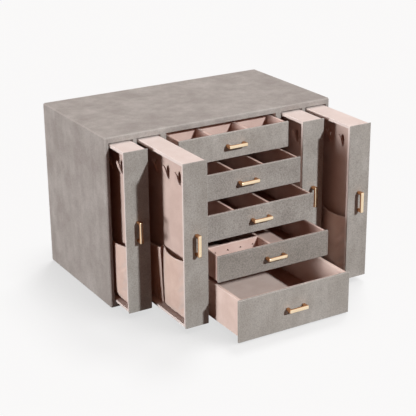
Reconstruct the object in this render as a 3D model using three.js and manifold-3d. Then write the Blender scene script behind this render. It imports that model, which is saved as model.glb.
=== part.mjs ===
// Tiered jewelry box: a leather covered cabinet with four narrow hanging racks and a column of
// five drawers, all of which slide out of its front. Millimetres, Z up, front towards -Y. The
// origin is the middle of the cabinet's footprint, on the surface that the box stands on.
import * as THREE from 'three';
import Module from 'manifold-3d';
import { mergeVertices } from 'three/addons/utils/BufferGeometryUtils.js';
import { ConvexGeometry } from 'three/addons/geometries/ConvexGeometry.js';

const wasm = await Module();
wasm.setup();

// Cabinet
const cabinetWidth = 432;
const cabinetDepth = 238;
const cabinetHeight = 294;
const cabinetEdgeRadius = 3;
const sideThickness = 7;
const topThickness = 10;
const floorThickness = 8.5;
const backThickness = 6;
const outerPartitionThickness = 7;
const innerPartitionThickness = 10;
const shelfThickness = 5.5;
const boardEase = 0.7;
const feltThickness = 1.5;
const feltInset = 4;

// Gaps between what slides and what it slides in
const slideGap = 0.3;
const frontSideGap = 0.5;
const frontFloorGap = 0.5;
const frontTopGap = 1.5;
const rearGap = 1.5;
const keptInside = 12.5;

// Fronts: a leather covered panel on each drawer, and a thinner one on each rack
const panelThickness = 4;
const panelEdgeRadius = 1.2;
const rackPanelThickness = 2;
const rackPanelEdgeRadius = 0.7;

// Racks
const rackBayWidth = 43;
const rackBodyInset = 2;
const rackTopDrop = 1;
const rackPlate = 5;
const rackFrontPlate = 6.5;
const rackBoard = 5;
const rackEase = 0.8;
const rackPullOutShares = [0.231, 0.67, 0.295, 0.577];

// Hooks: leaf shaped tongues, five a side, that lean out over a slot of their own shape
const hooksPerSide = 5;
const hookHeight = 24;
const hookReach = 9;
const hookFootWidth = 4.5;
const hookWidth = 9;
const hookTipThickness = 1.6;
const hookRootHeight = 6;
const hookTipBelowTop = 25;
const firstHookFromFront = 44;
const hookPitch = 36;
const slotInset = 1.2;

// Pockets: cloth at the foot of each side of a rack, sewn down in the middle and at both ends
const pocketHeight = 98;
const pocketThickness = 13;
const pocketEndGap = 2;
const pocketPouches = 2;
const pocketSeamThickness = 2.2;
const pocketHemSag = 6;
const pocketFoldDepth = 1.4;
const pocketFoldsInPouch = 2;

// Drawers
const shallowDrawers = 4;
const shallowFrontShare = 0.1624;
const columnTopGap = 4.5;
const drawerTopGap = 1;
const drawerSideGap = 1;
const deepFrontLift = 0.5;
const deepFrontGap = 0.8;
const trayInset = 2.5;
const trayWall = 3.5;
const deepTrayWall = 6;
const trayFrontWall = 3;
const trayFloor = 3;
const trayDrop = 1.2;
const trayEase = 0.9;
const dividerThickness = 4.5;
const dividerDrop = 1.5;
const dividerGap = 0.3;
const dividerEase = 0.8;
const smallCellDepth = 50;
const piercedCellDepth = 36;
const piercedHoles = 4;
const piercedHoleDiameter = 3.4;
const piercedHoleFromTop = 11;
const piercedHolesShift = 2.6;
const drawerPullOutShares = [0.176, 0.345, 0.523, 0.717, 0.991];
const smallCellShares = [0.303, 0.654];
const longCellShares = [[0.392, 0.683], [0.274, 0.611]];
const halfCellShare = 0.487;

// Pulls: square bars bent to a low bridge
const pullLength = 36;
const rackPullRise = 3;
const pullWidth = 5.5;
const pullPost = 5.5;
const pullBar = 4.5;
const pullStandoff = 12.5;
const pullCornerRadius = 1.2;
const pullEase = 0.4;

// Making
const overrun = 1;
const weld = 0.0001;
const roundSteps = 2;
const cornerSteps = 3;
const arcSteps = 4;

// Levels and places that follow from the sizes above
const left = -cabinetWidth / 2;
const right = cabinetWidth / 2;
const front = -cabinetDepth / 2;
const back = cabinetDepth / 2;
const innerBack = back - backThickness;
const baseLevel = feltThickness;
const floorLevel = baseLevel + floorThickness;
const ceiling = cabinetHeight - topThickness;
const slideLength = innerBack - rearGap - front;
const travel = slideLength - keptInside;
const rackPitches = [0, rackBayWidth + outerPartitionThickness];
const outerBayCentre = right - sideThickness - rackBayWidth / 2;
const rackCentres = [
  -(outerBayCentre - rackPitches[0]),
  -(outerBayCentre - rackPitches[1]),
  outerBayCentre - rackPitches[1],
  outerBayCentre - rackPitches[0],
];
const drawerBayHalf = outerBayCentre - rackPitches[1] - rackBayWidth / 2 - innerPartitionThickness;
const shallowFrontHeight = shallowFrontShare * (ceiling - floorLevel);
const drawerPitch = shallowFrontHeight + frontFloorGap + shelfThickness + drawerTopGap;

// One material a finish
const leather = { color: 0x9d958d, roughness: 0.62, metalness: 0 };
const suede = { color: 0xdcbfb3, roughness: 0.9, metalness: 0 };
const brass = { color: 0xc99a63, roughness: 0.28, metalness: 1 };
const felt = { color: 0x6e6661, roughness: 1, metalness: 0 };

// Turns a closed geometry into a solid that can be cut and joined.
function solid(geometry) {
  const bare = new THREE.BufferGeometry();
  bare.setAttribute('position', geometry.getAttribute('position'));
  bare.setIndex(geometry.getIndex());
  const welded = mergeVertices(bare, weld);
  return new wasm.Manifold(new wasm.Mesh({
    numProp: 3,
    vertProperties: new Float32Array(welded.getAttribute('position').array),
    triVerts: new Uint32Array(welded.getIndex().array),
  }));
}

// Turns a solid back into a geometry.
function surface(shape) {
  const mesh = shape.getMesh();
  const geometry = new THREE.BufferGeometry();
  geometry.setAttribute('position', new THREE.BufferAttribute(mesh.vertProperties, 3));
  geometry.setIndex(new THREE.BufferAttribute(mesh.triVerts, 1));
  geometry.computeVertexNormals();
  return geometry;
}

// A sharp block between two corners.
function block(low, high) {
  const size = high.map((value, axis) => value - low[axis]);
  const geometry = new THREE.BoxGeometry(...size);
  geometry.translate(...low.map((value, axis) => value + size[axis] / 2));
  return solid(geometry);
}

// A block with every edge rounded: the hull of an eighth of a ball in each corner.
function easedBlock(low, high, radius, steps = 1) {
  const points = [];
  for (const corner of [0, 1, 2, 3, 4, 5, 6, 7]) {
    const ends = [corner & 1, corner & 2, corner & 4].map((bit) => (bit ? 1 : -1));
    for (let i = 0; i <= steps; i += 1) {
      for (let j = 0; j <= steps - i; j += 1) {
        const out = new THREE.Vector3(i, j, steps - i - j).normalize().toArray();
        const place = ends.map((end, axis) => {
          const face = end > 0 ? high[axis] : low[axis];
          return face - end * radius * (1 - out[axis]);
        });
        points.push(new THREE.Vector3(...place));
      }
    }
  }
  return solid(new ConvexGeometry(points));
}

// An outline drawn in X and Y, raised along Z, with its two faces' edges eased.
function raised(shape, height, ease) {
  const geometry = new THREE.ExtrudeGeometry(shape, {
    depth: height - 2 * ease,
    bevelEnabled: ease > 0,
    bevelThickness: ease,
    bevelSize: ease,
    bevelOffset: -ease,
    bevelSegments: 1,
    curveSegments: arcSteps,
  });
  geometry.translate(0, 0, ease);
  return geometry;
}

// Cabinet: boards inside one covering with rounded outer edges
const cabinetCover = easedBlock(
  [left, front, baseLevel], [right, back, cabinetHeight], cabinetEdgeRadius, cornerSteps);

function cabinetBoard(low, high) {
  return cabinetCover.intersect(block(low, high));
}

function cabinetFloor() {
  const floor = cabinetBoard(
    [left + sideThickness, front, baseLevel], [right - sideThickness, back, floorLevel]);
  const rebate = block(
    [-drawerBayHalf, front - overrun, baseLevel - overrun],
    [drawerBayHalf, front + panelThickness + deepFrontGap, floorLevel + overrun]);
  return floor.subtract(rebate);
}

function partition(from, to) {
  return easedBlock([from, front, floorLevel], [to, innerBack, ceiling], boardEase);
}

function shelfTop(index) {
  return drawerFrontTop(index) - shallowFrontHeight - frontFloorGap;
}

function shelf(index) {
  const top = shelfTop(index);
  return easedBlock(
    [-drawerBayHalf, front, top - shelfThickness], [drawerBayHalf, innerBack, top], boardEase);
}

function baseFelt() {
  return block(
    [left + feltInset, front + panelThickness + deepFrontGap + feltInset, 0],
    [right - feltInset, back - feltInset, baseLevel]);
}

// Pulls
function pullShape() {
  const half = pullLength / 2;
  const outline = new THREE.Shape();
  const innerHalf = half - pullPost;
  const innerDepth = pullStandoff - pullBar;
  outline.moveTo(-half, 0);
  outline.lineTo(-innerHalf, 0);
  outline.lineTo(-innerHalf, innerDepth);
  outline.lineTo(innerHalf, innerDepth);
  outline.lineTo(innerHalf, 0);
  outline.lineTo(half, 0);
  outline.lineTo(half, pullStandoff - pullCornerRadius);
  outline.quadraticCurveTo(half, pullStandoff, half - pullCornerRadius, pullStandoff);
  outline.lineTo(-half + pullCornerRadius, pullStandoff);
  outline.quadraticCurveTo(-half, pullStandoff, -half, pullStandoff - pullCornerRadius);
  outline.closePath();
  const geometry = raised(outline, pullWidth, pullEase);
  geometry.translate(0, 0, -pullWidth / 2);
  return geometry;
}

// The bridge's posts end on the panel's face; upright turns its bar to stand along Z.
function pull(x, z, upright) {
  const geometry = pullShape();
  geometry.rotateX(Math.PI);
  if (upright) {
    geometry.rotateY(Math.PI / 2);
  }
  geometry.translate(x, front + pullEase, z);
  const behind = block(
    [x - pullLength, front, z - pullLength], [x + pullLength, back, z + pullLength]);
  return solid(geometry).subtract(behind);
}

// Racks
function rackSpan(centre) {
  const panelHalf = rackBayWidth / 2 - frontSideGap;
  const bodyHalf = panelHalf - rackBodyInset;
  return {
    centre,
    panelHalf,
    bodyHalf,
    low: floorLevel + slideGap,
    high: ceiling - frontTopGap - rackTopDrop,
    panelLow: floorLevel + frontFloorGap,
    panelHigh: ceiling - frontTopGap,
    frontFace: front + rackPanelThickness,
    insideFront: front + rackPanelThickness + rackFrontPlate,
    insideBack: front + slideLength - rackPlate,
    rear: front + slideLength,
  };
}

function rackPanel(rack) {
  return easedBlock(
    [rack.centre - rack.panelHalf, front, rack.panelLow],
    [rack.centre + rack.panelHalf, rack.frontFace, rack.panelHigh],
    rackPanelEdgeRadius, roundSteps);
}

// The frame is a closed ring of four plates, open to both sides.
function rackFrame(rack) {
  const outside = easedBlock(
    [rack.centre - rack.bodyHalf, rack.frontFace, rack.low],
    [rack.centre + rack.bodyHalf, rack.rear, rack.high], rackEase);
  const window = block(
    [rack.centre - rack.bodyHalf - overrun, rack.insideFront, rack.low + rackPlate],
    [rack.centre + rack.bodyHalf + overrun, rack.insideBack, rack.high - rackPlate]);
  return outside.subtract(window);
}

// A leaf drawn in Y and Z: narrow at its foot, widest above its middle, with a pointed arch.
function leaf(footHalf, half, height) {
  const shape = new THREE.Shape();
  shape.moveTo(-footHalf, 0);
  shape.lineTo(footHalf, 0);
  shape.quadraticCurveTo(half, height / 3, half, height * 2 / 3);
  shape.quadraticCurveTo(half, height * 5 / 6, 0, height);
  shape.quadraticCurveTo(-half, height * 5 / 6, -half, height * 2 / 3);
  shape.quadraticCurveTo(-half, height / 3, -footHalf, 0);
  return shape;
}

// An outline drawn in Y and Z, raised from one X to another.
function raisedAlongX(shape, fromX, toX, y, z) {
  const geometry = raised(shape, toX - fromX, 0);
  geometry.rotateX(Math.PI / 2);
  geometry.rotateZ(Math.PI / 2);
  geometry.translate(fromX, y, z);
  return solid(geometry);
}

// One tongue on the side that faces +X: its curved side view cut to the shape of a leaf.
function hook(y, rootLevel) {
  const face = rackBoard / 2;
  const profile = new THREE.Shape();
  profile.moveTo(-rackBoard / 4, 0);
  profile.lineTo(0, 0);
  profile.quadraticCurveTo(hookReach * 2 / 3, hookHeight / 4, hookReach, hookHeight);
  profile.lineTo(hookReach - hookTipThickness, hookHeight);
  profile.quadraticCurveTo(hookReach / 3, hookHeight / 3, 0, hookRootHeight);
  profile.lineTo(-rackBoard / 4, hookRootHeight);
  profile.closePath();
  const side = raised(profile, hookWidth, 0);
  side.rotateX(Math.PI / 2);
  side.translate(face, y + hookWidth / 2, rootLevel);
  const view = leaf(hookFootWidth / 2, hookWidth / 2, hookHeight);
  return solid(side).intersect(
    raisedAlongX(view, face - rackBoard / 2, face + hookReach + overrun, y, rootLevel));
}

function hookPlaces() {
  return Array.from({ length: hooksPerSide }, (_, i) => front + firstHookFromFront + i * hookPitch);
}

function rackHookBoard(rack) {
  const rootLevel = rack.high - hookTipBelowTop - hookHeight;
  const slotLevel = rootLevel + hookRootHeight + slotInset;
  const slotHeight = hookHeight - hookRootHeight - 2 * slotInset;
  let board = block(
    [-rackBoard / 2, rack.insideFront, rack.low + rackPlate],
    [rackBoard / 2, rack.insideBack, rack.high - rackPlate]);
  for (const y of hookPlaces()) {
    const slot = leaf(hookFootWidth / 2 - slotInset, hookWidth / 2 - slotInset, slotHeight);
    board = board.subtract(
      raisedAlongX(slot, -rackBoard / 2 - overrun, rackBoard / 2 + overrun, y, slotLevel));
  }
  for (const y of hookPlaces()) {
    const tongue = hook(y, rootLevel);
    board = board.add(tongue).add(tongue.mirror([1, 0, 0]));
  }
  return board.translate([rack.centre, 0, 0]);
}

// A pocket's thickness, from its foot to its hem, as shares of the fullest thickness.
const pocketProfileShares = [
  [0, 0.2], [0.1, 0.66], [0.28, 0.94], [0.45, 0.96], [0.6, 0.82], [0.74, 0.66], [0.88, 0.82],
  [1, 1],
];

// The pocket's cloth bulges off the board between its seams and hangs in upright folds.
function rackPocket(rack, side) {
  const from = rack.insideFront + pocketEndGap;
  const length = rack.insideBack - pocketEndGap - from;
  const foot = rack.low + rackPlate + slideGap;
  const columns = pocketPouches * pocketFoldsInPouch * 6;
  const rows = pocketProfileShares.length - 1;
  const inner = rackBoard / 2 + slideGap;
  const points = [];
  for (let i = 0; i <= columns; i += 1) {
    const along = pocketPouches * i / columns;
    const bulge = Math.sqrt(Math.abs(Math.sin(Math.PI * along)));
    const fold = pocketFoldDepth * (Math.cos(2 * Math.PI * pocketFoldsInPouch * along) - 1) / 2;
    for (let j = 0; j <= rows; j += 1) {
      const [up, full] = pocketProfileShares[j];
      const reach = (pocketThickness * full - pocketSeamThickness) * bulge - fold * up;
      const level = foot + up * (pocketHeight - pocketHemSag * bulge);
      points.push(inner + pocketSeamThickness + reach - pocketFoldDepth * bulge * up,
        from + length * i / columns, level);
    }
  }
  const apex = points.length / 3;
  points.push(0, from + length / 2, foot + pocketHeight / 2);
  const at = (i, j) => i * (rows + 1) + j;
  const faces = [];
  for (let i = 0; i < columns; i += 1) {
    for (let j = 0; j < rows; j += 1) {
      faces.push(at(i, j), at(i + 1, j), at(i + 1, j + 1), at(i, j), at(i + 1, j + 1), at(i, j + 1));
    }
    faces.push(at(i + 1, 0), at(i, 0), apex, at(i, rows), at(i + 1, rows), apex);
  }
  for (let j = 0; j < rows; j += 1) {
    faces.push(at(0, j), at(0, j + 1), apex, at(columns, j + 1), at(columns, j), apex);
  }
  const geometry = new THREE.BufferGeometry();
  geometry.setAttribute('position', new THREE.Float32BufferAttribute(points, 3));
  geometry.setIndex(faces);
  const behind = block(
    [-overrun, from - overrun, foot - overrun],
    [inner, from + length + overrun, foot + pocketHeight + overrun]);
  const cloth = solid(geometry).subtract(behind);
  const turned = side < 0 ? cloth.mirror([1, 0, 0]) : cloth;
  return turned.translate([rack.centre, 0, 0]);
}

// Drawers
function drawerFrontTop(index) {
  return ceiling - columnTopGap - index * drawerPitch;
}

function drawerSpan(index) {
  const deep = index === shallowDrawers;
  const panelHalf = drawerBayHalf - drawerSideGap;
  const panelHigh = drawerFrontTop(index);
  const carrier = deep ? floorLevel : shelfTop(index);
  const wall = deep ? deepTrayWall : trayWall;
  return {
    panelHalf,
    panelHigh,
    panelLow: deep ? baseLevel + deepFrontLift : panelHigh - shallowFrontHeight,
    bodyHalf: panelHalf - trayInset,
    low: carrier + slideGap,
    high: panelHigh - trayDrop,
    frontFace: front + panelThickness,
    insideFront: front + panelThickness + trayFrontWall,
    insideBack: front + slideLength - wall,
    rear: front + slideLength,
    insideHalf: panelHalf - trayInset - wall,
    floor: carrier + slideGap + trayFloor,
  };
}

function drawerPanel(drawer) {
  return easedBlock(
    [-drawer.panelHalf, front, drawer.panelLow],
    [drawer.panelHalf, drawer.frontFace, drawer.panelHigh], panelEdgeRadius, roundSteps);
}

// A tray is hollowed to its floor, and the rim's inner edge is eased like the outer one.
function drawerTray(drawer) {
  const outside = easedBlock(
    [-drawer.bodyHalf, drawer.frontFace, drawer.low],
    [drawer.bodyHalf, drawer.rear, drawer.high], trayEase);
  const hollow = block(
    [-drawer.insideHalf, drawer.insideFront, drawer.floor],
    [drawer.insideHalf, drawer.insideBack, drawer.high + overrun]);
  const flare = easedBlock(
    [-drawer.insideHalf - trayEase, drawer.insideFront - trayEase, drawer.high - trayEase],
    [drawer.insideHalf + trayEase, drawer.insideBack + trayEase, drawer.high + trayEase],
    trayEase);
  return outside.subtract(hollow).subtract(flare);
}

function insideWidth(drawer) {
  return 2 * (drawer.insideHalf - dividerGap);
}

function dividerAt(drawer, share) {
  return -drawer.insideHalf + dividerGap + share * insideWidth(drawer);
}

function longDivider(drawer, share, from, to) {
  const middle = dividerAt(drawer, share);
  return easedBlock(
    [middle - dividerThickness / 2, from, drawer.floor],
    [middle + dividerThickness / 2, to, drawer.high - dividerDrop], dividerEase);
}

function crossWall(drawer, cellDepth, fromX, toX) {
  const near = drawer.insideFront + cellDepth;
  return easedBlock(
    [fromX, near, drawer.floor],
    [toX, near + dividerThickness, drawer.high - dividerDrop], dividerEase);
}

function insideEnds(drawer) {
  return [drawer.insideFront + dividerGap, drawer.insideBack - dividerGap];
}

// The top drawer has a row of small cells behind its front and one long cell behind them.
function smallCellDividers(drawer) {
  const [near] = insideEnds(drawer);
  const side = drawer.insideHalf - dividerGap;
  let walls = crossWall(drawer, smallCellDepth, -side, side);
  for (const share of smallCellShares) {
    const wallMiddle = drawer.insideFront + smallCellDepth + dividerThickness / 2;
    walls = walls.add(longDivider(drawer, share, near, wallMiddle));
  }
  return walls;
}

// Two long walls run from the front to a wall that stands against the tray's rear.
function longCellDividers(drawer, shares) {
  const [near, far] = insideEnds(drawer);
  const side = drawer.insideHalf - dividerGap;
  const rear = easedBlock(
    [-side, far - dividerThickness, drawer.floor],
    [side, far, drawer.high - dividerDrop], dividerEase);
  return rear
    .add(longDivider(drawer, shares[0], near, far - dividerThickness / 2))
    .add(longDivider(drawer, shares[1], near, far - dividerThickness / 2));
}

// The fourth drawer is halved, and a pierced wall closes off the front of its left cell.
function piercedDividers(drawer) {
  const [near, far] = insideEnds(drawer);
  const side = -drawer.insideHalf + dividerGap;
  const middle = dividerAt(drawer, halfCellShare);
  const cellWidth = middle - dividerThickness / 2 - side;
  const wall = crossWall(drawer, piercedCellDepth, side, middle);
  let walls = longDivider(drawer, halfCellShare, near, far).add(wall);
  for (let index = 0; index < piercedHoles; index += 1) {
    const drill = new THREE.CylinderGeometry(
      piercedHoleDiameter / 2, piercedHoleDiameter / 2, dividerThickness * 3, 2 * arcSteps);
    drill.translate(
      side + piercedHolesShift + cellWidth * (index + 0.5) / piercedHoles,
      drawer.insideFront + piercedCellDepth + dividerThickness / 2,
      drawer.high - dividerDrop - piercedHoleFromTop);
    walls = walls.subtract(solid(drill));
  }
  return walls;
}

const dividerMakers = [
  (drawer) => smallCellDividers(drawer),
  (drawer) => longCellDividers(drawer, longCellShares[0]),
  (drawer) => longCellDividers(drawer, longCellShares[1]),
  (drawer) => piercedDividers(drawer),
];

// Assembly
function add(parent, name, shape, finish) {
  const mesh = new THREE.Mesh(surface(shape), new THREE.MeshStandardMaterial(finish));
  mesh.name = name;
  parent.add(mesh);
}

function addCabinet(parent) {
  const insideLeft = left + sideThickness;
  const insideRight = right - sideThickness;
  add(parent, 'case_top',
    cabinetBoard([insideLeft, front, ceiling], [insideRight, back, cabinetHeight]), leather);
  add(parent, 'case_bottom', cabinetFloor(), leather);
  add(parent, 'case_left_side',
    cabinetBoard([left, front, baseLevel], [insideLeft, back, cabinetHeight]), leather);
  add(parent, 'case_right_side',
    cabinetBoard([insideRight, front, baseLevel], [right, back, cabinetHeight]), leather);
  add(parent, 'case_back',
    block([insideLeft, innerBack, floorLevel], [insideRight, back, ceiling]), leather);
  const outerEnd = insideRight - rackBayWidth;
  const innerEnd = outerEnd - outerPartitionThickness - rackBayWidth;
  add(parent, 'partition_1', partition(-outerEnd, -outerEnd + outerPartitionThickness), leather);
  add(parent, 'partition_2', partition(-innerEnd, -innerEnd + innerPartitionThickness), leather);
  add(parent, 'partition_3', partition(innerEnd - innerPartitionThickness, innerEnd), leather);
  add(parent, 'partition_4', partition(outerEnd - outerPartitionThickness, outerEnd), leather);
  for (let index = 0; index < shallowDrawers; index += 1) {
    add(parent, `shelf_${index + 1}`, shelf(index), leather);
  }
  add(parent, 'base_felt', baseFelt(), felt);
}

function addRack(parent, index) {
  const rack = rackSpan(rackCentres[index]);
  const name = `rack_${index + 1}`;
  const group = new THREE.Group();
  group.position.y = -rackPullOutShares[index] * travel;
  parent.add(group);
  add(group, `${name}_front`, rackPanel(rack), leather);
  add(group, `${name}_frame`, rackFrame(rack), suede);
  add(group, `${name}_hook_board`, rackHookBoard(rack), suede);
  add(group, `${name}_pocket_left`, rackPocket(rack, -1), suede);
  add(group, `${name}_pocket_right`, rackPocket(rack, 1), suede);
  const pullLevel = (rack.panelLow + rack.panelHigh) / 2 + rackPullRise;
  add(group, `${name}_pull`, pull(rack.centre, pullLevel, true), brass);
}

function addDrawer(parent, index) {
  const drawer = drawerSpan(index);
  const name = `drawer_${index + 1}`;
  const group = new THREE.Group();
  group.position.y = -drawerPullOutShares[index] * travel;
  parent.add(group);
  add(group, `${name}_front`, drawerPanel(drawer), leather);
  add(group, `${name}_tray`, drawerTray(drawer), suede);
  if (index < dividerMakers.length) {
    add(group, `${name}_dividers`, dividerMakers[index](drawer), suede);
  }
  add(group, `${name}_pull`, pull(0, (drawer.panelLow + drawer.panelHigh) / 2, false), brass);
}

const jewelryBox = new THREE.Group();
addCabinet(jewelryBox);
rackCentres.forEach((centre, index) => addRack(jewelryBox, index));
drawerPullOutShares.forEach((share, index) => addDrawer(jewelryBox, index));

export default jewelryBox;
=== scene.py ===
"""The looks of a tiered jewelry box: a grey leather cabinet, whose racks and drawers are lined with
blush suede and have cast brass pulls. The racks carry gathered cloth pockets."""

import math

import bpy
from mathutils import Matrix, Vector


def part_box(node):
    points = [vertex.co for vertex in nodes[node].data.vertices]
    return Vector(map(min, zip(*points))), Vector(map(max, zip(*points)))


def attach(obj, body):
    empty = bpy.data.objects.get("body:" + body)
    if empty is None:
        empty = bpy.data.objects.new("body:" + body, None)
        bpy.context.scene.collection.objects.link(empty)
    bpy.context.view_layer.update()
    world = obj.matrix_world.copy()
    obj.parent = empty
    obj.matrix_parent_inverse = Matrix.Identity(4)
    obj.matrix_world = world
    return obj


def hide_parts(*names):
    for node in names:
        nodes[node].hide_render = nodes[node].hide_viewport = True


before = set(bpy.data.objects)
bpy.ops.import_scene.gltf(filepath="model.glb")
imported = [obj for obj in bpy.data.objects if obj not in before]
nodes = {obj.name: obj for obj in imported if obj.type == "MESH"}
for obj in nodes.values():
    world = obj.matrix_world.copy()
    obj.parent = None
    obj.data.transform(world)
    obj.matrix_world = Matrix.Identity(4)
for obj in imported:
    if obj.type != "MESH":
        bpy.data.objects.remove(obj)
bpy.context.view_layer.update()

MM = 0.001
RACKS = [f"rack_{i}" for i in range(1, 5)]
DRAWERS = [f"drawer_{i}" for i in range(1, 6)]


# Small tools of the bench
def hex_colour(code):
    """An sRGB hex value as the linear colour that a shader socket takes."""
    parts = [int(code[i:i + 2], 16) / 255 for i in (1, 3, 5)]
    return [p / 12.92 if p <= 0.04045 else ((p + 0.055) / 1.055) ** 2.4 for p in parts] + [1.0]


def add_node(tree, kind, inputs=None, **settings):
    """Adds one node: its settings first, then a value or a link for each input. An input goes by
    its name, or by its place where a node has more than one of that name."""
    node = tree.nodes.new(kind)
    for name, value in settings.items():
        setattr(node, name, value)
    for name, value in (inputs or {}).items():
        socket = node.inputs[name]
        if isinstance(value, bpy.types.NodeSocket):
            tree.links.new(value, socket)
        else:
            socket.default_value = value
    return node


def new_material(name):
    """An empty node material and its tree."""
    material = bpy.data.materials.new(name)
    material.use_nodes = True
    material.node_tree.nodes.clear()
    return material, material.node_tree


def dress(obj, material):
    """Gives an object one material all over."""
    obj.data.materials.clear()
    obj.data.materials.append(material)


# Materials

# The places of a colour mix's sockets on a Mix node: share, first and second colour, and result
SHARE, FIRST, SECOND, MIXED = 0, 6, 7, 2

# The cabinet's hollow, 0.5 mm into its boards, from 2.5 mm behind their front edges
LINED_LOW = Vector((-209.5, -116.5, 9.5)) * MM
LINED_HIGH = Vector((209.5, 113.5, 284.5)) * MM


def largest_part(tree, vector):
    """The largest of a vector's three parts."""
    parts = add_node(tree, "ShaderNodeSeparateXYZ", {"Vector": vector}).outputs
    larger = add_node(tree, "ShaderNodeMath", {0: parts[0], 1: parts[1]}, operation="MAXIMUM")
    largest = add_node(tree, "ShaderNodeMath", {0: larger.outputs[0], 1: parts[2]},
                       operation="MAXIMUM")
    return largest.outputs[0]


def edge_mask(tree):
    """White on eased edges and black on flat faces, whose normal lies along an axis."""
    normal = add_node(tree, "ShaderNodeTexCoord").outputs["Normal"]
    sizes = add_node(tree, "ShaderNodeVectorMath", {0: normal}, operation="ABSOLUTE")
    along_axis = largest_part(tree, sizes.outputs[0])
    return add_node(tree, "ShaderNodeMapRange", {
        "Value": along_axis, "From Min": 0.98, "From Max": 0.86}).outputs[0]


def lining_mask(tree, place):
    """White inside the cabinet, black on its outside and on the boards' front edges."""
    middle = (LINED_LOW + LINED_HIGH) / 2
    reach = (LINED_HIGH - LINED_LOW) / 2
    away = add_node(tree, "ShaderNodeVectorMath", {0: place, 1: middle}, operation="SUBTRACT")
    distance = add_node(tree, "ShaderNodeVectorMath", {0: away.outputs[0]}, operation="ABSOLUTE")
    beyond = add_node(tree, "ShaderNodeVectorMath", {0: distance.outputs[0], 1: reach},
                      operation="SUBTRACT")
    return add_node(tree, "ShaderNodeMath", {0: largest_part(tree, beyond.outputs[0]), 1: 0.0},
                    operation="LESS_THAN").outputs[0]


def lay_over(tree, under, over, pattern, start=0.0, full=1.0, most=1.0):
    """Lays one colour over another along a pattern: none of it where the pattern is at start, and
    as much as most says where it is at full."""
    share = add_node(tree, "ShaderNodeMapRange", {
        "Value": pattern, "From Min": start, "From Max": full, "To Max": most})
    return add_node(tree, "ShaderNodeMix", {SHARE: share.outputs[0], FIRST: under, SECOND: over},
                    data_type="RGBA").outputs[MIXED]


def leather_material(name, low_tone, high_tone, grain_show, grain_depth, lining=None):
    """Embossed polyurethane leather: rollers press a pebble grain into a warm grey skin, which is
    then rubbed with a lighter tone, so the grain's tops are paler and its creases darker.
    grain_show says by how much, and grain_depth how deep the creases are. The cabinet's boards have
    a suede lining inside, in two tones, which stops short of their front edges."""
    material, tree = new_material(name)
    place = add_node(tree, "ShaderNodeTexCoord").outputs["Object"]
    # The real grain is about 1 mm across, too fine to show, so its pebbles are drawn 1.9 mm across.
    pebble, mottling, smear, cloud = 1.9 * MM, 2.6 * MM, 13 * MM, 44 * MM
    mottle = add_node(tree, "ShaderNodeTexNoise", {
        "Vector": place, "Scale": 1 / mottling, "Detail": 3.0, "Roughness": 0.6})
    # The mottle bends the pebbles' places by up to 3 mm, so that no two look alike.
    bent = add_node(tree, "ShaderNodeMix", {
        SHARE: 3 * MM, FIRST: place, SECOND: mottle.outputs["Color"]},
        data_type="RGBA", blend_type="ADD")
    pebbles = add_node(tree, "ShaderNodeTexVoronoi", {
        "Vector": bent.outputs[MIXED], "Scale": 1 / pebble, "Smoothness": 0.5},
        feature="SMOOTH_F1")
    clouds = add_node(tree, "ShaderNodeTexNoise", {
        "Vector": place, "Scale": 1 / cloud, "Detail": 5.0, "Roughness": 0.6})
    upright = add_node(tree, "ShaderNodeMapping", {"Vector": place, "Scale": (1.0, 1.0, 0.3)})
    smears = add_node(tree, "ShaderNodeTexNoise", {
        "Vector": upright.outputs[0], "Scale": 1 / smear, "Detail": 3.0})
    clouded = clouds.outputs["Fac"], 0.34, 0.66
    skin = lay_over(tree, hex_colour(low_tone), hex_colour(high_tone), *clouded)
    skin = lay_over(tree, skin, hex_colour("#918b84"), smears.outputs["Fac"], 0.38, 0.64, most=0.30)
    for pattern, crease, top, depth in (
            (mottle.outputs["Fac"], 0.30, 0.70, 0.8 * grain_show),
            (pebbles.outputs["Distance"], 0.85, 0.05, 1.3 * grain_show)):
        relief = add_node(tree, "ShaderNodeMapRange", {
            "Value": pattern, "From Min": crease, "From Max": top,
            "To Min": 1.0 - depth, "To Max": 1.0 + depth})
        skin = add_node(tree, "ShaderNodeMix", {SHARE: 1.0, FIRST: skin, SECOND: relief.outputs[0]},
                        data_type="RGBA", blend_type="MULTIPLY").outputs[MIXED]
    # Eased edges are drawn paler: a painted highlight, partly edge wear as well.
    skin = lay_over(tree, skin, hex_colour("#c9c2bd"), edge_mask(tree), most=0.22)
    rough = add_node(tree, "ShaderNodeMapRange", {
        "Value": mottle.outputs["Fac"], "From Min": 0.3, "From Max": 0.7,
        "To Min": 0.5, "To Max": 0.66})
    # The lining is real blush suede, drawn deeper than the racks' suede as painted shade in the bays
    # it lines.
    if lining:
        inside = lining_mask(tree, place)
        cloth = lay_over(tree, hex_colour(lining[0]), hex_colour(lining[1]), *clouded)
        skin = lay_over(tree, skin, cloth, inside)
        # The lining is duller than the skin by this much.
        duller = 0.38
        rough = add_node(tree, "ShaderNodeMath", {0: inside, 1: duller, 2: rough.outputs[0]},
                         operation="MULTIPLY_ADD", use_clamp=True)
    pebble_grain = add_node(tree, "ShaderNodeBump", {
        "Height": pebbles.outputs["Distance"], "Strength": grain_depth, "Distance": 0.5 * MM},
        invert=True)
    grain = add_node(tree, "ShaderNodeBump", {
        "Height": mottle.outputs["Fac"], "Strength": grain_depth, "Distance": 0.3 * MM,
        "Normal": pebble_grain.outputs[0]})
    shader = add_node(tree, "ShaderNodeBsdfPrincipled", {
        "Base Color": skin, "Roughness": rough.outputs[0], "IOR": 1.46, "Specular IOR Level": 0.35,
        "Normal": grain.outputs[0]})
    add_node(tree, "ShaderNodeOutputMaterial", {"Surface": shader.outputs[0]})
    return material


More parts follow.
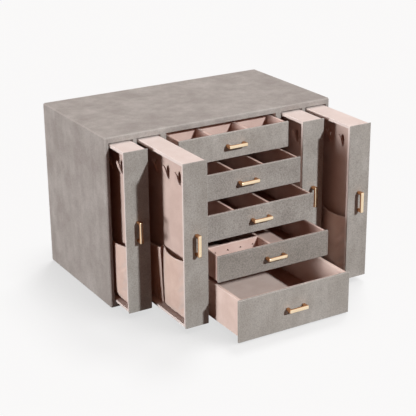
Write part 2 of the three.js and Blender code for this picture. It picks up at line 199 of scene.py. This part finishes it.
def suede_material(name, base, deep, lift):
    """Flocked microfibre suede: a short dense nap that looks matt and soft, a little deeper where
    it has been brushed one way, and paler on edges where it catches the light."""
    material, tree = new_material(name)
    place = add_node(tree, "ShaderNodeTexCoord").outputs["Object"]
    # The nap is far finer than a pixel, so its mottle is drawn 1.8 mm across.
    tuft, stroke = 1.8 * MM, 26 * MM
    brushed = add_node(tree, "ShaderNodeTexNoise", {
        "Vector": place, "Scale": 1 / stroke, "Detail": 3.0})
    nap = add_node(tree, "ShaderNodeTexNoise", {"Vector": place, "Scale": 1 / tuft, "Detail": 2.0})
    cloth = lay_over(tree, hex_colour(base), hex_colour(deep), brushed.outputs["Fac"], 0.35, 0.65)
    cloth = lay_over(tree, cloth, hex_colour(lift), nap.outputs["Fac"], 0.35, 0.7, most=0.3)
    cloth = lay_over(tree, cloth, hex_colour("#f3e6df"), edge_mask(tree), most=0.5)
    pile = add_node(tree, "ShaderNodeBump", {
        "Height": nap.outputs["Fac"], "Strength": 0.25, "Distance": 0.3 * MM})
    shader = add_node(tree, "ShaderNodeBsdfPrincipled", {
        "Base Color": cloth, "Roughness": 0.92, "IOR": 1.45, "Specular IOR Level": 0.03,
        "Sheen Weight": 0.18, "Sheen Roughness": 0.5, "Sheen Tint": hex_colour("#f0d6ca"),
        "Normal": pile.outputs[0]})
    add_node(tree, "ShaderNodeOutputMaterial", {"Surface": shader.outputs[0]})
    return material


def brass_material():
    """Cast brass, lacquered, with painted light: the bar's outer face is a bright cream gold, a
    painted highlight, and its backs and feet are copper, partly toning in the hollows and partly
    painted shade and darker reflection. The polishing wheel leaves fine lines."""
    material, tree = new_material("polished_cast_brass")
    place = add_node(tree, "ShaderNodeTexCoord").outputs["Object"]
    # The polishing lines are 0.1 mm apart, too fine to show, so they are drawn as a 0.5 mm haze.
    haze, patch = 0.5 * MM, 9 * MM
    lines = add_node(tree, "ShaderNodeTexNoise", {"Vector": place, "Scale": 1 / haze, "Detail": 1.0})
    dull = add_node(tree, "ShaderNodeTexNoise", {"Vector": place, "Scale": 1 / patch, "Detail": 2.0})
    # Painted light: the cream is a painted highlight on the bar's outer face, and the copper is
    # partly toning, partly painted shade on the backs and feet.
    shaded_copper = lay_over(tree, hex_colour("#e3aa7c"), hex_colour("#cf9466"), dull.outputs["Fac"])
    bright = lay_over(tree, hex_colour("#ffefd2"), hex_colour("#f9dcb4"), dull.outputs["Fac"])
    front_highlight = add_node(tree, "ShaderNodeAttribute", attribute_name="front_highlight")
    gold = lay_over(tree, shaded_copper, bright, front_highlight.outputs["Fac"], 0.72, 0.97)
    rough = add_node(tree, "ShaderNodeMapRange", {
        "Value": lines.outputs["Fac"], "From Min": 0.3, "From Max": 0.7,
        "To Min": 0.08, "To Max": 0.15})
    scratches = add_node(tree, "ShaderNodeBump", {
        "Height": lines.outputs["Fac"], "Strength": 0.03, "Distance": 0.03 * MM})
    shader = add_node(tree, "ShaderNodeBsdfPrincipled", {
        "Base Color": gold, "Metallic": 1.0, "Roughness": rough.outputs[0],
        "Normal": scratches.outputs[0]})
    add_node(tree, "ShaderNodeOutputMaterial", {"Surface": shader.outputs[0]})
    return material


def felt_material():
    """Needle-punched felt: matt dark grey fibres pressed into a mat."""
    material, tree = new_material("needle_felt_dark_grey")
    place = add_node(tree, "ShaderNodeTexCoord").outputs["Object"]
    tangle = 1.5 * MM
    fibres = add_node(tree, "ShaderNodeTexNoise", {
        "Vector": place, "Scale": 1 / tangle, "Detail": 4.0})
    mat = lay_over(tree, hex_colour("#4a4542"), hex_colour("#7b746f"), fibres.outputs["Fac"])
    pile = add_node(tree, "ShaderNodeBump", {
        "Height": fibres.outputs["Fac"], "Strength": 0.5, "Distance": 0.4 * MM})
    shader = add_node(tree, "ShaderNodeBsdfPrincipled", {
        "Base Color": mat, "Roughness": 1.0, "Specular IOR Level": 0.1,
        "Normal": pile.outputs[0]})
    add_node(tree, "ShaderNodeOutputMaterial", {"Surface": shader.outputs[0]})
    return material


case_leather = leather_material("embossed_pu_leather_warm_grey", "#9e9691", "#b5afaa",
                                grain_show=0.08, grain_depth=0.22, lining=("#b89a8e", "#c4a79b"))
rack_leather = leather_material("embossed_pu_leather_rack_fronts", "#9c958e", "#ada7a1",
                                grain_show=0.12, grain_depth=0.25)
drawer_leather = leather_material("embossed_pu_leather_drawer_fronts", "#9b948e", "#ada7a1",
                                  grain_show=0.17, grain_depth=0.4)
# The fronts are all of one leather and these copies differ only in tone: the fourth drawer's darker
# copy is painted shade, and the pale copy on the fronts listed below is painted light.
low_leather = leather_material("embossed_pu_leather_fourth_drawer", "#8c857e", "#9b948e",
                               grain_show=0.17, grain_depth=0.4)
pale_leather = leather_material("embossed_pu_leather_pale_fronts", "#a7a099", "#b7b1ab",
                                grain_show=0.12, grain_depth=0.25)
front_leathers = {"drawer_4_front": low_leather, "drawer_1_front": pale_leather,
                  "drawer_5_front": pale_leather, "rack_3_front": pale_leather,
                  "rack_4_front": pale_leather}
# The frames, boards and trays are lined with one blush suede, drawn in copies of different tone: the
# frames' pale copy is painted light on the plates' tops, the boards' deeper copy is painted shade on
# their upright faces, and the upper four drawers' trays are deeper than the fifth's as painted shade
# inside them.
frame_suede = suede_material("flocked_microfibre_suede_frames", "#f4e7e1", "#eedfd8", "#f6eeea")
board_suede = suede_material("flocked_microfibre_suede_boards", "#e3cabf", "#d9bfb4", "#ead6cd")
tray_suede = suede_material("flocked_microfibre_suede_trays", "#e3c5ba", "#d9b8ad", "#e8d0c6")
deep_tray_suede = suede_material("flocked_microfibre_suede_deep_tray",
                                 "#f1d9ce", "#e7cdc1", "#f3e1d9")
brass = brass_material()
felt = felt_material()

for name, node in nodes.items():
    if name == "base_felt":
        dress(node, felt)
    elif name.endswith("_pull"):
        dress(node, brass)
    elif name.startswith(("case_", "partition_", "shelf_")):
        dress(node, case_leather)
    elif name.endswith("_front"):
        plain_leather = rack_leather if name.startswith("rack") else drawer_leather
        dress(node, front_leathers.get(name, plain_leather))
    elif name.endswith("_frame"):
        dress(node, frame_suede)
    elif name.startswith("rack"):
        dress(node, board_suede)
    else:
        dress(node, deep_tray_suede if name.startswith("drawer_5") else tray_suede)


# Pulls

# The bar's length, width and depth, how far its face stands off the panel, the length of each post
# along the bar, and the rounding of all edges
PULL_LENGTH = 36 * MM
PULL_WIDTH = 6.5 * MM
PULL_BAR = 4.5 * MM
PULL_STANDOFF = 12.5 * MM
PULL_POST = 5.5 * MM
PULL_ROUNDING = 1.9 * MM


def select_faces(obj, test):
    """Goes to edit mode with only those faces selected whose centre and normal pass the test."""
    bpy.ops.object.mode_set(mode="OBJECT")
    for parts in (obj.data.vertices, obj.data.edges):
        for part in parts:
            part.select = False
    for face in obj.data.polygons:
        face.select = test(face.center, face.normal)
    bpy.context.tool_settings.mesh_select_mode = (False, False, True)
    bpy.ops.object.mode_set(mode="EDIT")


def make_active(obj):
    """Selects one object, and makes it the one that operators act on."""
    bpy.ops.object.select_all(action="DESELECT")
    obj.select_set(True)
    bpy.context.view_layer.objects.active = obj


def add_modifier(obj, kind, **settings):
    """Adds a modifier and applies it at once."""
    bpy.context.view_layer.objects.active = obj
    modifier = obj.modifiers.new(kind.lower(), kind)
    for name, value in settings.items():
        setattr(modifier, name, value)
    bpy.ops.object.modifier_apply(modifier=modifier.name)


def smooth_faces(obj):
    """Shades all of a piece's faces smooth."""
    for face in obj.data.polygons:
        face.use_smooth = True


def cast_pull():
    """One bow-shaped pull along X, with its feet on the plane Y = 0 and its bar in front of it. It
    is cast in one piece: a square bar whose two ends turn back to the panel, all edges rounded."""
    bpy.ops.object.select_all(action="DESELECT")
    bpy.ops.mesh.primitive_cube_add(size=1.0, location=(0, -PULL_STANDOFF + PULL_BAR / 2, 0),
                                    scale=(PULL_LENGTH, PULL_BAR, PULL_WIDTH))
    pull = bpy.context.active_object
    make_active(pull)
    bpy.ops.object.transform_apply(location=True, rotation=True, scale=True)
    bpy.ops.object.mode_set(mode="EDIT")
    # The bar is cut where its posts begin, and the posts are drawn out of its back.
    post_start = PULL_LENGTH / 2 - PULL_POST
    for side in (-1, 1):
        bpy.ops.mesh.select_all(action="SELECT")
        bpy.ops.mesh.bisect(plane_co=(side * post_start, 0, 0), plane_no=(1, 0, 0))
    select_faces(pull, lambda centre, normal: normal.y > 0.9 and abs(centre.x) > post_start)
    bpy.ops.mesh.extrude_region_move(
        TRANSFORM_OT_translate={"value": (0, PULL_STANDOFF - PULL_BAR, 0)})
    bpy.ops.object.mode_set(mode="OBJECT")
    add_modifier(pull, "BEVEL", width=PULL_ROUNDING, segments=5, limit_method="ANGLE",
                 angle_limit=math.radians(30))
    smooth_faces(pull)
    add_modifier(pull, "WEIGHTED_NORMAL", keep_sharp=False)
    # The brass's painted highlight follows this mark: 1 on the bar's outer face, down to 0 at its
    # back, whose copper is partly painted shade.
    front_highlight = pull.data.attributes.new("front_highlight", "FLOAT", "POINT")
    for vertex, mark in zip(pull.data.vertices, front_highlight.data):
        mark.value = max(0.0, 1.0 - (PULL_STANDOFF + vertex.co.y) / PULL_BAR)
    return pull


def copy_piece(source, name, matrix):
    """A copy of a piece with its own mesh, which the matrix moves to its place."""
    piece = bpy.data.objects.new(name, source.data.copy())
    bpy.context.scene.collection.objects.link(piece)
    piece.data.transform(matrix)
    if matrix.determinant() < 0:
        piece.data.flip_normals()
    return piece


pull_pattern = cast_pull()
for body in RACKS + DRAWERS:
    pull_low, pull_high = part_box(body + "_pull")
    turn = Matrix.Rotation(math.radians(90), 4, "Y") if body in RACKS else Matrix.Identity(4)
    middle = (pull_low[0] + pull_high[0]) / 2, pull_high[1], (pull_low[2] + pull_high[2]) / 2
    piece = copy_piece(pull_pattern, body + "_cast_pull", Matrix.Translation(middle) @ turn)
    dress(piece, brass)
    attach(piece, body)
    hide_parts(body + "_pull")
bpy.data.objects.remove(pull_pattern)


# Pockets: cloth cut wider than the board it is sewn to, with a pleat over the middle seam

# In millimetres: the pocket's height and length, how far the seam is behind its front end, how far
# a pouch bulges, the least that the cloth stands off its board, and how thick it is
POCKET_TALL = 98.0
POCKET_LONG = 213.0
POCKET_SEAM = 87.0
BULGE_MOST = 12.0
CLOTH_OFF = 0.6
CLOTH_THICK = 0.7

# The cut: 3.5 % of ease each way, and 4 mm for the hem
CLOTH_EASE = 1.035
CLOTH_HEM = 4.0

# The hem's courses: how far each lies inside the top edge, and how far below it, in millimetres
HEM_ROLL = ((0.9, -0.7), (1.8, -0.3), (2.0, 1.6))

# The cloth's points: level courses from foot to hem, and in each course the steps of a pouch and
# the points of the pleat, the first few of which are sewn down as the seam
COURSES = 34
POUCH_STEPS = 36
PLEAT_POINTS = 11
SEAM_POINTS = 4

# The cloth is draped at ten times its size, at which the simulation is steady
CLOTH_SCALE = 10.0
DRAPED_MM = CLOTH_SCALE * MM
DRAPE_FRAMES = 32


def bulge(share, height):
    """How far a pouch stands off its board, in mm: share runs along it, height from its foot to its
    hem, both from 0 to 1. A pouch is broad in its middle and steep at its ends, nearly flat at its
    foot, fullest a little above its middle, and slightly wavy."""
    broad, steep, foot_share = 2.8, 0.6, 0.16
    along = (1.0 - abs(2.0 * share - 1.0) ** broad) ** steep
    arch = math.sin(math.pi * (0.04 + 0.74 * height)) ** 0.75
    upright = foot_share + (1.0 - foot_share) * arch
    wave = 1.0 + 0.10 * math.sin(2 * math.pi * (1.6 * share + 0.35 * height)) * height
    wave -= 0.06 * math.cos(2 * math.pi * (2.7 * share - 0.5 * height))
    return BULGE_MOST * along * upright * wave


def pocket_course(height):
    """One level course of the cloth as (distance behind the front end, distance off the board), mm.
    The pleat starts at the seam, turns forward over the front pouch and comes back behind the seam.
    Towards the hem it reaches further and stands further off, and the pouches sag."""
    rise = height ** 0.9
    reach = 4.0 * rise + 0.3
    gap = 6.4 * rise + 0.4
    hem_sag = 1.0 - 0.25 * height
    shares = [i / POUCH_STEPS for i in range(POUCH_STEPS + 1)]
    bulges = [CLOTH_OFF + hem_sag * bulge(share, height) for share in shares]
    seam = POCKET_SEAM
    front_pouch = [(seam * i / POUCH_STEPS, bulges[i]) for i in range(POUCH_STEPS)]
    pleat = [(seam + 0.4, 0.9), (seam + 2.2, 1.1), (seam + 3.2, 1.6), (seam + 2.6, 2.1 + 0.3 * gap),
             (seam + 0.4, 2.3 + 0.75 * gap), (seam - 0.6 * reach, 2.4 + gap),
             (seam - reach, 2.7 + gap), (seam - reach - 0.5, 3.2 + gap),
             (seam - reach, 3.9 + gap), (seam - 0.4 * reach, 4.5 + gap), (seam + 2.0, 5.0 + gap)]
    # The rear pouch starts as far out as the pleat ends, and falls to its own bulge over three
    # tenths of its length.
    behind_seam, fall, most = 4.0, 0.30, BULGE_MOST + 1.2
    length = POCKET_LONG - seam - behind_seam
    rear_pouch = []
    for share, own in zip(shares[1:], bulges[1:]):
        lead = (4.6 + gap) * max(0.0, 1.0 - share / fall) ** 1.5 + 0.4
        rear_pouch.append((seam + behind_seam + length * share, min(most, max(own, lead))))
    return front_pouch + pleat + rear_pouch


def strip_faces(first, second, columns):
    """The faces between two courses of points, given the number of each one's first point."""
    return [(first + c, second + c, second + c + 1, first + c + 1) for c in range(columns - 1)]


def cloth_object(points, faces):
    """An object made of points and faces."""
    mesh = bpy.data.meshes.new("pocket_cloth")
    mesh.from_pydata(points, [], faces)
    mesh.update()
    cloth = bpy.data.objects.new("pocket_pattern", mesh)
    bpy.context.scene.collection.objects.link(cloth)
    return cloth


def sew_down(cloth, columns):
    """Marks where the cloth is sewn: fast at its foot, its ends and its seam, while the pleat gives
    a little."""
    fast, tacked = 1.0, 0.9
    sewn = cloth.vertex_groups.new(name="sewn")
    for course in range(COURSES):
        for column in range(columns):
            in_pleat = column - POUCH_STEPS
            if course == 0 or column in (0, columns - 1) or 0 <= in_pleat < SEAM_POINTS:
                sewn.add([course * columns + column], fast, "REPLACE")
            elif 0 <= in_pleat < PLEAT_POINTS:
                sewn.add([course * columns + column], tacked, "REPLACE")


def drape(cloth, lean):
    """Lets the sewn cloth go under its own weight. It is also pulled off its board, and a little to
    the rear or, where lean is below 0, to the front."""
    bpy.ops.object.select_all(action="DESELECT")
    bpy.context.view_layer.objects.active = cloth
    modifier = cloth.modifiers.new("cloth", "CLOTH")
    fabric = modifier.settings
    fabric.quality = 8
    fabric.mass = 0.25
    fabric.tension_stiffness = fabric.compression_stiffness = 18
    fabric.shear_stiffness = 6
    fabric.bending_stiffness = 0.35
    fabric.vertex_group_mass = "sewn"
    # Shrinking by less than nothing: the cloth has 2 % to spare, which falls into folds.
    fabric.shrink_min = -0.02
    modifier.collision_settings.use_self_collision = False
    scene = bpy.context.scene
    plain_gravity = scene.gravity.copy()
    scene.gravity = (2.0, 0.5 * lean, -4.0)
    modifier.point_cache.frame_start = 1
    modifier.point_cache.frame_end = DRAPE_FRAMES
    for step in range(1, DRAPE_FRAMES + 1):
        scene.frame_set(step)
    bpy.ops.object.modifier_apply(modifier="cloth")
    scene.frame_set(1)
    scene.gravity = plain_gravity


def keep_in_rack(mesh):
    """Keeps the draped cloth off its board and inside its rack. What swells too far is eased back
    over the last fifth of its way, without an edge."""
    least, most = 0.5 * DRAPED_MM, (BULGE_MOST + 1.4) * DRAPED_MM
    free, last = 0.8 * most, 0.2 * most
    for point in mesh.vertices:
        off = point.co.x
        if off > free:
            off = free + last * math.tanh((off - free) / last)
        point.co.x = max(off, least)
        point.co.y = min(max(point.co.y, 0.0), POCKET_LONG * DRAPED_MM)
        point.co.z = max(point.co.z, 0.0)


def turn_hem(mesh, columns):
    """The cloth's points and faces with its hem: three more courses roll over the top edge and hang
    down inside it."""
    points = [vertex.co.copy() for vertex in mesh.vertices]
    faces = [tuple(face.vertices) for face in mesh.polygons]
    top = points[-columns:]
    least = 0.3 * DRAPED_MM
    for inward, down in HEM_ROLL:
        faces += strip_faces(len(points) - columns, len(points), columns)
        for point in top:
            off = max(least, point.x - inward * DRAPED_MM)
            points.append(Vector((off, point.y, point.z - down * DRAPED_MM)))
    return points, faces


def sew_pocket(lean):
    """A pocket in its own space: X off the board, Y from front to rear, Z up, in metres."""
    courses = [pocket_course(r / (COURSES - 1)) for r in range(COURSES)]
    columns = len(courses[0])
    points = [(off * DRAPED_MM, behind * DRAPED_MM, POCKET_TALL * r / (COURSES - 1) * DRAPED_MM)
              for r, course in enumerate(courses) for behind, off in course]
    faces = []
    for r in range(COURSES - 1):
        faces += strip_faces(r * columns, (r + 1) * columns, columns)
    cloth = cloth_object(points, faces)
    sew_down(cloth, columns)
    drape(cloth, lean)
    keep_in_rack(cloth.data)
    points, faces = turn_hem(cloth.data, columns)
    bpy.data.objects.remove(cloth)
    cloth = cloth_object([point / CLOTH_SCALE for point in points], faces)
    make_active(cloth)
    add_modifier(cloth, "SOLIDIFY", thickness=CLOTH_THICK * MM, offset=-1.0)
    add_modifier(cloth, "SUBSURF", levels=1, render_levels=1)
    smooth_faces(cloth)
    return cloth


def cut_size():
    """The cloth's flat width and height in metres: its middle course's length and the pocket's
    height, with ease, and with a hem on the height."""
    course = pocket_course(0.5)
    width = sum(math.dist(a, b) for a, b in zip(course, course[1:]))
    return width * CLOTH_EASE * MM, (POCKET_TALL * CLOTH_EASE + CLOTH_HEM) * MM


pocket_patterns = [sew_pocket(1), sew_pocket(-1)]
pocket_flat = cut_size()
pocket_suede = suede_material("gathered_suede_cloth_blush", "#e9cec0", "#dfc2b4", "#efdcd1")
for number, rack in enumerate(RACKS):
    for side, outward in (("left", -1), ("right", 1)):
        pocket_low, pocket_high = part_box(f"{rack}_pocket_{side}")
        board_face = pocket_high[0] if outward < 0 else pocket_low[0]
        place = Matrix.Translation((board_face, pocket_low[1], pocket_low[2]))
        # The two patterns take turns, so a rack's two sides differ, as do neighbours' left sides.
        pattern = pocket_patterns[(number + (outward > 0)) % 2]
        piece = copy_piece(pattern, f"{rack}_pocket_cloth_{side}",
                           place @ Matrix.Diagonal((outward, 1, 1, 1)))
        dress(piece, pocket_suede)
        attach(piece, rack)
        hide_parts(f"{rack}_pocket_{side}")
for pattern in pocket_patterns:
    bpy.data.objects.remove(pattern)


# Floor, lamps and camera

# The floor's size in metres, how much of its white is light from its own lamp and not a glow, and
# how far the shade at the foot of the box reaches
FLOOR_SIZE = 30.0
PAPER_LIT = 0.10
FOOT_SHADE_REACH = 115 * MM

# The photograph's frame in pixels, and the camera's sensor in millimetres
FRAME_PIXELS = 416.0
SENSOR = 36.0


def shown_share(tree):
    """1 where the camera sees a surface, straight, mirrored in metal or through glass, and 0 where
    it only sends light on."""
    path = add_node(tree, "ShaderNodeLightPath").outputs
    shown = add_node(tree, "ShaderNodeMath", {
        0: path["Is Camera Ray"], 1: path["Is Glossy Ray"]}, operation="MAXIMUM")
    return add_node(tree, "ShaderNodeMath", {
        0: shown.outputs[0], 1: path["Is Transmission Ray"]}, operation="MAXIMUM").outputs[0]


def floor_material():
    """Seamless white paper: for the camera it is lit mostly from inside, so it stays an even white.
    It keeps the soft shadow of its own lamp, and a pale one round the foot of the box."""
    material, tree = new_material("seamless_paper_white")
    white = hex_colour("#f9f9f9")
    # Less light gets in from the right, so the shade at the foot leans to the left.
    leaning = add_node(tree, "ShaderNodeCombineXYZ", {"X": 0.50, "Y": -0.30, "Z": 0.81})
    near = add_node(tree, "ShaderNodeAmbientOcclusion", {
        "Distance": FOOT_SHADE_REACH, "Normal": leaning.outputs[0]}, samples=8)
    foot = add_node(tree, "ShaderNodeMapRange", {
        "Value": near.outputs["AO"], "From Min": 0.25, "From Max": 0.95},
        interpolation_type="SMOOTHSTEP")
    shade = add_node(tree, "ShaderNodeMix", {
        SHARE: foot.outputs[0], FIRST: hex_colour("#e1e1e1"), SECOND: white}, data_type="RGBA")
    paper = add_node(tree, "ShaderNodeBsdfDiffuse", {"Color": white})
    glow = add_node(tree, "ShaderNodeEmission", {"Color": shade.outputs[MIXED], "Strength": 1.0})
    seen = add_node(tree, "ShaderNodeMixShader", {
        0: 1.0 - PAPER_LIT, 1: paper.outputs[0], 2: glow.outputs[0]})
    bounce = add_node(tree, "ShaderNodeBsdfDiffuse", {"Color": hex_colour("#6b4a3c")})
    surface = add_node(tree, "ShaderNodeMixShader", {
        0: shown_share(tree), 1: bounce.outputs[0], 2: seen.outputs[0]})
    add_node(tree, "ShaderNodeOutputMaterial", {"Surface": surface.outputs[0]})
    return material


bpy.ops.object.select_all(action="DESELECT")
bpy.ops.mesh.primitive_plane_add(size=FLOOR_SIZE, location=(0, 0, 0))
floor = bpy.context.active_object
floor.name = "floor"
dress(floor, floor_material())


def add_sun(name, towards_light, strength, softness, colour, bounces, glossy=True, on_floor=False):
    """A distant lamp: towards_light points from the box to the lamp, softness is its width in
    degrees, and bounces is how many times its light is passed on, so that the closed bays stay
    dark. A lamp that isn't glossy lights a surface without a glare on it. It lights the floor or
    the box, not both."""
    lamp = bpy.data.lights.new(name, "SUN")
    lamp.energy = strength * math.pi
    lamp.angle = math.radians(softness)
    lamp.color = hex_colour(colour)[:3]
    lamp.cycles.max_bounces = bounces
    stand = bpy.data.objects.new(name, lamp)
    stand.visible_glossy = glossy
    stand.rotation_mode = "QUATERNION"
    stand.rotation_quaternion = Vector(towards_light).to_track_quat("Z", "Y")
    bpy.context.scene.collection.objects.link(stand)
    reach = bpy.data.collections.new(name + "_reach")
    reach.objects.link(floor)
    stand.light_linking.receiver_collection = reach
    reach.collection_objects[0].light_linking.link_state = "INCLUDE" if on_floor else "EXCLUDE"


add_sun("key_lamp", (0.268, -0.83, 0.475), strength=0.895, softness=2.5, colour="#f6fdff",
        bounces=1)
add_sun("left_lamp", (-0.985, -0.05, 0.07), strength=0.94, softness=18.0, colour="#fafdff",
        bounces=0, glossy=False)
add_sun("back_lamp", (0.42, 0.90, 0.06), strength=0.50, softness=20.0, colour="#fff6f0",
        bounces=0, glossy=False)
add_sun("top_lamp", (-0.05, 0.30, 0.95), strength=0.245, softness=40.0, colour="#f6fdff",
        bounces=1)
add_sun("paper_lamp", (0.354, 0.339, 0.871), strength=0.98, softness=16.0, colour="#ffffff",
        bounces=0, on_floor=True)


def paint_walls():
    """The studio's walls: the camera sees an even white, and the box gets a faint warm fill."""
    world = bpy.data.worlds.new("studio")
    bpy.context.scene.world = world
    world.use_nodes = True
    world.cycles.max_bounces = 1
    tree = world.node_tree
    tree.nodes.clear()
    fill = add_node(tree, "ShaderNodeBackground", {"Color": hex_colour("#ffb89c"), "Strength": 0.20})
    wall = add_node(tree, "ShaderNodeBackground", {"Color": hex_colour("#f9f9f9"), "Strength": 1.0})
    both = add_node(tree, "ShaderNodeMixShader", {
        0: shown_share(tree), 1: fill.outputs[0], 2: wall.outputs[0]})
    add_node(tree, "ShaderNodeOutputWorld", {"Surface": both.outputs[0]})


def set_camera(azimuth, elevation, roll, focal_pixels, position):
    """The photograph's viewpoint: angles in degrees, the focal length in the frame's pixels, and
    the position in millimetres."""
    turn, rise, tilt = (math.radians(angle) for angle in (azimuth, elevation, roll))
    back = Vector((math.sin(turn) * math.cos(rise), -math.cos(turn) * math.cos(rise),
                   math.sin(rise)))
    level = Vector((math.cos(turn), math.sin(turn), 0.0))
    upright = back.cross(level)
    right = level * math.cos(tilt) + upright * math.sin(tilt)
    up = upright * math.cos(tilt) - level * math.sin(tilt)
    optics = bpy.data.cameras.new("camera")
    optics.sensor_width = SENSOR
    optics.lens = SENSOR * focal_pixels / FRAME_PIXELS
    optics.clip_start = 0.05
    optics.clip_end = 60.0
    camera = bpy.data.objects.new("camera", optics)
    camera.matrix_world = Matrix((right, up, back)).transposed().to_4x4()
    camera.location = [v * MM for v in position]
    bpy.context.scene.collection.objects.link(camera)
    bpy.context.scene.camera = camera


paint_walls()
set_camera(azimuth=-30.65, elevation=20.93, roll=-0.55, focal_pixels=1192.1,
           position=(-979.65, -1722.08, 852.79))
bpy.context.scene.view_settings.view_transform = "Standard"
